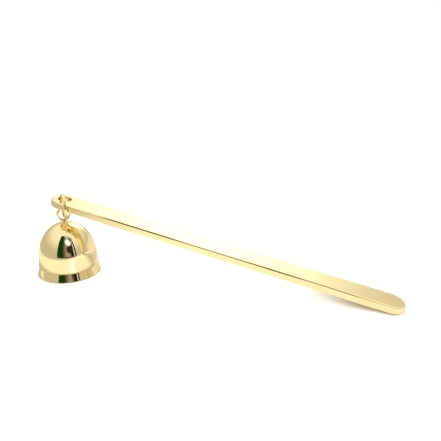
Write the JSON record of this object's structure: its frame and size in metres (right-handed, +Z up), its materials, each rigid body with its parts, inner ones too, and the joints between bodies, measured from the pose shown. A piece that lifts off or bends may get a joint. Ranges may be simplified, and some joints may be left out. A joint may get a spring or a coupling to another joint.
{
  "type": "candle snuffer",
  "caption": "Polished gold-coloured candle snuffer: a small flared bell hangs on a jump ring from a hole in the end of a long flat bar handle with round ends.",
  "frame": {"origin": "Centre of the bell's mouth, in the plane that the bell's rim and the handle's far end rest on.", "axes": "+Z up, along the bell's axis; +X along the handle in plan, from the bell towards the grip end; +Y across the handle, away from the side that the jump ring stands out of."},
  "size_m": [0.1693, 0.0298, 0.0395],
  "materials": {
    "handle_bar": "polished",
    "jump_ring": "polished",
    "bell_cup": "polished",
    "bell_loop": "polished",
    "loop_washer": "satin"
  },
  "bodies": {
    "handle": {"handle_bar": "handle_bar"},
    "ring": {"jump_ring": "jump_ring"},
    "bell": {"bell_cup": "bell_cup", "bell_loop": "bell_loop", "loop_washer": "loop_washer"}
  },
  "joints": [
    {"name": "ring_turn", "type": "hinge", "parent": "handle", "child": "ring", "pos_m": [0.00212, -0.00263, 0.03356], "axis": [-0.749, -0.6626, 0], "range_deg": [-20, 45]},
    {"name": "bell_swing", "type": "hinge", "parent": "ring", "child": "bell", "pos_m": [0, 0, 0.02881], "axis": [-0.5835, 0.8121, 0], "range_deg": [-15, 75]}
  ]
}
